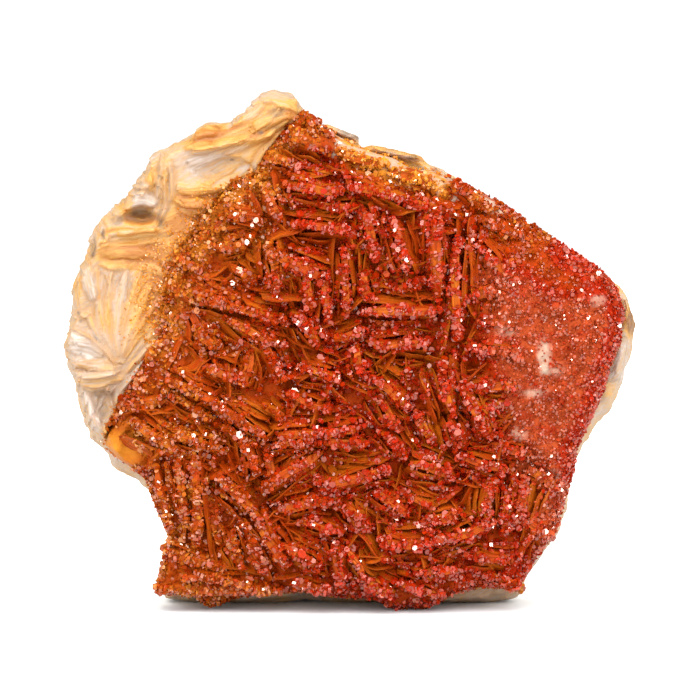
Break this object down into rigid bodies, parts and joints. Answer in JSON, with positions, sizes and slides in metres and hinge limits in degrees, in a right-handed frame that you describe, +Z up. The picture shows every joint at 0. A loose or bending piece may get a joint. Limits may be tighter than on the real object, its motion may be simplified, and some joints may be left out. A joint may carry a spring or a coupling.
{
  "type": "vanadinite mineral specimen on barite matrix",
  "caption": "Upright mineral specimen: a crust of interlocking blades coated with small six-sided red-orange crystals on a pale fibrous rock matrix that stands on its broken base.",
  "frame": {"origin": "centre of the bounding box in X and Y, at the height of the flat broken foot that the specimen stands on", "axes": "+X to the right seen from the front, the crystal crust faces -Y, +Z up"},
  "size_m": [0.096, 0.041, 0.087],
  "materials": {
    "barite_matrix": "dull, fibrous and stepped broken rock, cream to tan",
    "vanadinite_crust": "glassy to resinous crystal faces, orange to deep red"
  },
  "bodies": {
    "root": {"barite_matrix": "barite_matrix", "vanadinite_crust": "vanadinite_crust"}
  },
  "joints": []
}
